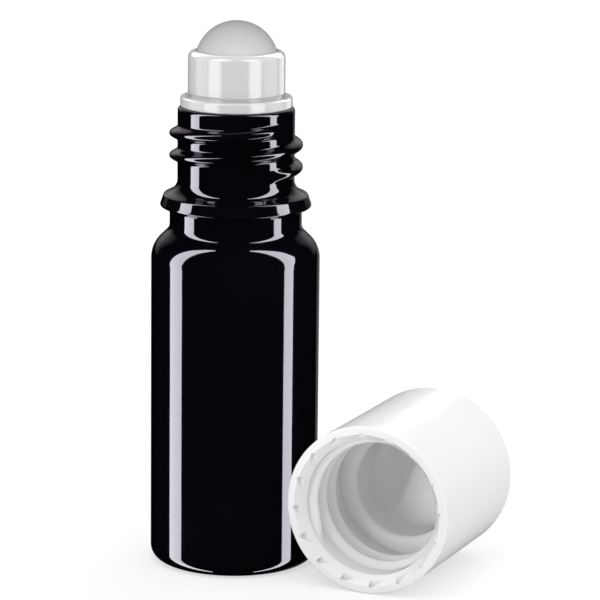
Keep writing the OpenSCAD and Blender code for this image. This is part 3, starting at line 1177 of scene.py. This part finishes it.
@dataclass
class Studio:
    """White room, soft light from above, soft boxes, a dark surround for the reflections, and the camera."""

    azimuth: float = 24.2
    elevation: float = 12.6
    distance: float = 470.0
    lean: float = 0.6
    pixels_per_mm: float = 7.39
    image_size: float = 600.0
    target: tuple[float, float, float] = (0.0, 0.0, 31.0)
    target_pixel: tuple[float, float] = (235.2, 335.5)
    sensor: float = 36.0
    floor_size: float = 3000.0
    ambient: float = 0.72
    shadow_share: float = 0.4
    surround: float = 1200.0
    reach: float = 900.0

    def aside(self, degrees: float, distance: float, height: float) -> Vector:
        """A place round the object.

        Args:
            degrees: Direction from the object, to the right of the camera's.
            distance: Distance from the bottle's axis in millimetres.
            height: Height above the floor in millimetres.

        Returns:
            The place in metres.
        """
        angle = math.radians(self.azimuth + degrees)
        return Vector((distance * math.sin(angle), -distance * math.cos(angle), height)) * MM

    def towards(self, degrees: float, elevation: float) -> Vector:
        """A direction from the object.

        Args:
            degrees: Its turn to the right of the camera's.
            elevation: Its height above the horizon in degrees.

        Returns:
            The direction, of length 1.
        """
        rise = math.radians(elevation)
        return self.aside(degrees, math.cos(rise), math.sin(rise)).normalized()

    def camera(self) -> bpy.types.Object:
        """Makes the camera, aimed so that the target falls on its pixel.

        Returns:
            The camera.
        """
        data = bpy.data.cameras.new("camera")
        data.sensor_width = self.sensor
        data.lens = self.pixels_per_mm * self.distance * self.sensor / self.image_size
        made = bpy.data.objects.new("camera", data)
        bpy.context.scene.collection.objects.link(made)
        target = Vector(self.target) * MM
        place = target + self.towards(0.0, self.elevation) * self.distance * MM
        forward = (target - place).normalized()
        right = forward.cross(Vector((0, 0, 1))).normalized()
        up = right.cross(forward)
        middle = self.image_size / 2
        across = (middle - self.target_pixel[0]) / self.pixels_per_mm * MM
        down = (middle - self.target_pixel[1]) / self.pixels_per_mm * MM
        aim = target + right * across - up * down
        made.location = place
        made.rotation_mode = "QUATERNION"
        lean = Quaternion((0.0, 0.0, 1.0), math.radians(self.lean))
        made.rotation_quaternion = (aim - place).to_track_quat("-Z", "Y") @ lean
        data.clip_start, data.clip_end = 0.01, 20.0
        bpy.context.scene.camera = made
        return made

    def world(self) -> None:
        """Makes the white room: plain ambient light, and white where the camera looks past the object."""
        world = bpy.data.worlds.new("white_room")
        world.use_nodes = True
        pad = Pad(world.node_tree)
        rays = pad.node("ShaderNodeLightPath").outputs
        seen = Term(pad, rays["Is Camera Ray"])
        for name in ("Is Glossy Ray", "Is Transmission Ray"):
            seen = pad.math("MAXIMUM", seen, Term(pad, rays[name]))
        background = world.node_tree.nodes["Background"]
        background.inputs["Color"].default_value = (1.0, 1.0, 1.0, 1.0)
        pad.feed(background.inputs["Strength"], seen * (1.0 - self.ambient) + self.ambient)
        bpy.context.scene.world = world

    def floor(self) -> None:
        """Makes the white floor, which keeps the object's shadow."""
        half = self.floor_size / 2 * MM
        mesh = bpy.data.meshes.new("floor")
        mesh.from_pydata([(-half, -half, 0), (half, -half, 0), (half, half, 0), (-half, half, 0)], [], [(0, 1, 2, 3)])
        made = bpy.data.materials.new("white_floor")
        made.use_nodes = True
        shader = made.node_tree.nodes["Principled BSDF"]
        shader.inputs["Base Color"].default_value = (0.97, 0.97, 0.97, 1.0)
        shader.inputs["Roughness"].default_value = 1.0
        shader.inputs["Specular IOR Level"].default_value = 0.0
        pad = Pad(made.node_tree)
        white = pad.node("ShaderNodeEmission", {"Strength": 1.0}).outputs[0]
        seen = Term(pad, pad.node("ShaderNodeLightPath").outputs["Is Camera Ray"])
        mixed = pad.node(
            "ShaderNodeMixShader", {0: seen * (1.0 - self.shadow_share), 1: shader.outputs[0], 2: white}
        )
        pad.feed(made.node_tree.nodes["Material Output"].inputs["Surface"], mixed.outputs[0])
        mesh.materials.append(made)
        floor = bpy.data.objects.new("floor", mesh)
        bpy.context.scene.collection.objects.link(floor)
        hide_from(floor, Rays.GLOSSY)

    def glow(self, name: str, mesh: bpy.types.Mesh, strength: float, tint: Colour | None) -> bpy.types.Object:
        """Gives a studio mesh a plain brightness, and hides it from all but reflections.

        Args:
            name: Name of the new object.
            mesh: Its mesh.
            strength: Brightness, where 1 is white and 0 is black.
            tint: Colour of its light, or None for a black sheet that no ray goes past.

        Returns:
            The object.
        """
        made = bpy.data.materials.new(name)
        made.use_nodes = True
        made.node_tree.nodes.clear()
        pad = Pad(made.node_tree)
        light = pad.node("ShaderNodeEmission", {"Strength": 0.0})
        surface = light.outputs[0]
        if tint:
            share = pad.node("ShaderNodeAttribute", attribute_name=GLOW_SHARE).outputs["Fac"]
            pad.feed(light.inputs["Strength"], Term(pad, share) * strength)
            pad.feed(light.inputs["Color"], (*tint, 1.0))
            past = pad.node("ShaderNodeBsdfTransparent").outputs[0]
            surface = pad.node("ShaderNodeAddShader", {0: surface, 1: past}).outputs[0]
        pad.node("ShaderNodeOutputMaterial", {"Surface": surface})
        made.cycles.emission_sampling = "NONE"
        mesh.materials.append(made)
        thing = bpy.data.objects.new(name, mesh)
        bpy.context.scene.collection.objects.link(thing)
        hide_from(thing, Rays.CAMERA, Rays.DIFFUSE, Rays.TRANSMISSION, Rays.SHADOW)
        return thing

    def panel(self, panel: Panel, reach: float, rows: int = 6, columns: int = 16) -> None:
        """Makes a soft box.

        Args:
            panel: The soft box.
            reach: Its distance from the object in millimetres.
            rows: Steps between two points of an edge.
            columns: Steps from the first edge to the last.
        """
        centre = Vector((0.0, 0.0, self.target[2] * MM))
        edges = [[self.towards(*point) for point in edge] for edge in (panel.first_edge, panel.last_edge)]
        count = (len(edges[0]) - 1) * rows
        points, shares = [], []
        for i in range(count + 1):
            up = i / count
            before = min(i // rows, len(edges[0]) - 2)
            left, right = (edge[before].slerp(edge[before + 1], i / rows - before) for edge in edges)
            for j in range(columns + 1):
                across = j / columns
                points.append(centre + left.slerp(right, across) * reach * MM)
                margin = 2 * min(across, 1 - across, up, 1 - up)
                shares.append(min(1.0, margin / panel.feather) if panel.feather else 1.0)
        mesh = bpy.data.meshes.new(panel.name)
        step = columns + 1
        corners = [i * step + j for i in range(count) for j in range(columns)]
        mesh.from_pydata(points, [], [(k, k + 1, k + step + 1, k + step) for k in corners])
        mesh.attributes.new(GLOW_SHARE, "FLOAT", "POINT").data.foreach_set("value", shares)
        made = self.glow(panel.name, mesh, panel.strength, panel.tint)
        self.light_only(made, panel.pieces)

    def light_only(self, light: bpy.types.Object, pieces: tuple[str, ...]) -> None:
        """Lets a light or a soft box reach only some pieces.

        Args:
            light: The light or soft box.
            pieces: Names of the pieces.
        """
        reached = bpy.data.collections.new(light.name + "_pieces")
        for name in pieces:
            reached.objects.link(bpy.data.objects[name])
        light.light_linking.receiver_collection = reached

    def dark_surround(self, sides: int = 48) -> None:
        """Makes the black tent that the reflections see behind the soft boxes.

        Args:
            sides: Flat sides of the tent.
        """
        levels = (-self.surround, self.surround)
        mesh = bpy.data.meshes.new("dark_surround")
        points = [self.aside(360 * i / sides, self.surround, level) for level in levels for i in range(sides)]
        points += [Vector((0, 0, level * MM)) for level in levels]
        ring = [(i, (i + 1) % sides) for i in range(sides)]
        walls = [(a, b, sides + b, sides + a) for a, b in ring]
        lids = [(k * sides + a, k * sides + b, 2 * sides + k) for k in (0, 1) for a, b in ring]
        mesh.from_pydata(points, [], walls + lids)
        self.glow("dark_surround", mesh, 0.0, None)

    def sun(
        self,
        name: str,
        degrees: float,
        elevation: float,
        strength: float,
        spread: float,
        pieces: tuple[str, ...],
        alone: bool = False,
        gleam: bool = False,
    ) -> None:
        """Makes a soft light from far away.

        Args:
            name: Name of the light.
            degrees: Direction that it comes from, to the right of the camera's.
            elevation: Its height above the horizon in degrees.
            strength: Light on a surface that faces it.
            spread: Width of the light in degrees.
            pieces: The pieces that it lights.
            alone: Whether only those pieces stand in its way.
            gleam: Whether reflections show it.
        """
        data = bpy.data.lights.new(name, "SUN")
        data.energy = strength
        data.angle = math.radians(spread)
        made = bpy.data.objects.new(name, data)
        bpy.context.scene.collection.objects.link(made)
        made.rotation_mode = "QUATERNION"
        made.rotation_quaternion = self.towards(degrees, elevation).to_track_quat("Z", "Y")
        data.cycles.use_multiple_importance_sampling = False
        if not gleam:
            hide_from(made, Rays.GLOSSY)
        self.light_only(made, pieces)
        if alone:
            made.light_linking.blocker_collection = made.light_linking.receiver_collection

    def snoot(
        self,
        name: str,
        mark: tuple[float, float, float],
        degrees: float,
        elevation: float,
        distance: float,
        power: float,
        spread: float,
        pieces: tuple[str, ...],
    ) -> None:
        """Makes a lamp with a narrow soft beam.

        Args:
            name: Name of the lamp.
            mark: The point that it is aimed at, in millimetres.
            degrees: Direction that it comes from, to the right of the camera's.
            elevation: Its height above the horizon in degrees.
            distance: Its distance from the mark in millimetres.
            power: Its power in watts.
            spread: Width of the beam in degrees.
            pieces: The pieces that it lights.
        """
        data = bpy.data.lights.new(name, "SPOT")
        data.energy = power
        data.spot_size = math.radians(spread)
        data.spot_blend = 1.0
        data.shadow_soft_size = 6.0 * MM
        made = bpy.data.objects.new(name, data)
        bpy.context.scene.collection.objects.link(made)
        back = self.towards(degrees, elevation)
        made.location = (Vector(mark) + back * distance) * MM
        made.rotation_mode = "QUATERNION"
        made.rotation_quaternion = back.to_track_quat("Z", "Y")
        hide_from(made, Rays.GLOSSY)
        self.light_only(made, pieces)

    def build(self) -> None:
        """Sets up the whole studio."""
        bpy.context.scene.view_settings.view_transform = "Standard"
        self.camera()
        self.world()
        self.floor()
        self.dark_surround()
        for order, panel in enumerate(PANELS):
            self.panel(panel, self.reach + order)
        lit = GLASS_PIECES + WHITE_PIECES + CAP_PIECES + ("floor",)
        self.sun("top_light", -30.0, 70.0, 1.1, 50.0, lit)
        self.sun("back_light", 150.0, 50.0, 0.6, 50.0, lit)
        self.sun("ball_light", 0.0, 5.0, 1.9, 10.0, BALL_PIECES)
        self.sun("cap_side_light", 75.0, 4.0, 0.4, 40.0, CAP_PIECES, alone=True)
        self.sun("cap_back_light", -110.0, 40.0, 0.7, 40.0, CAP_PIECES, alone=True)
        self.sun("cap_gleam", 168.4, 22.0, 0.08, 15.0, CAP_PIECES, alone=True, gleam=True)
        self.snoot("chamber_light", (28.0, 14.8, 8.0), -39.0, 12.0, 150.0, 0.65, 6.0, CAP_PIECES)
        for name in CAP_PIECES:
            hide_from(bpy.data.objects[name], Rays.GLOSSY)
        LOG.info("studio ready")


def main() -> None:
    """Builds the pieces and the studio in order."""
    logging.basicConfig(level=logging.INFO, format="%(message)s")
    glass = GlassBottle()
    glass.build(DARK_GLASS)
    RollerHousing().build(HOUSING_PLASTIC)
    RollerBall().build(BALL_PLASTIC)
    ScrewCap().build(CAP_PLASTIC, glass)
    Studio().build()


if __name__ == "__main__":
    main()
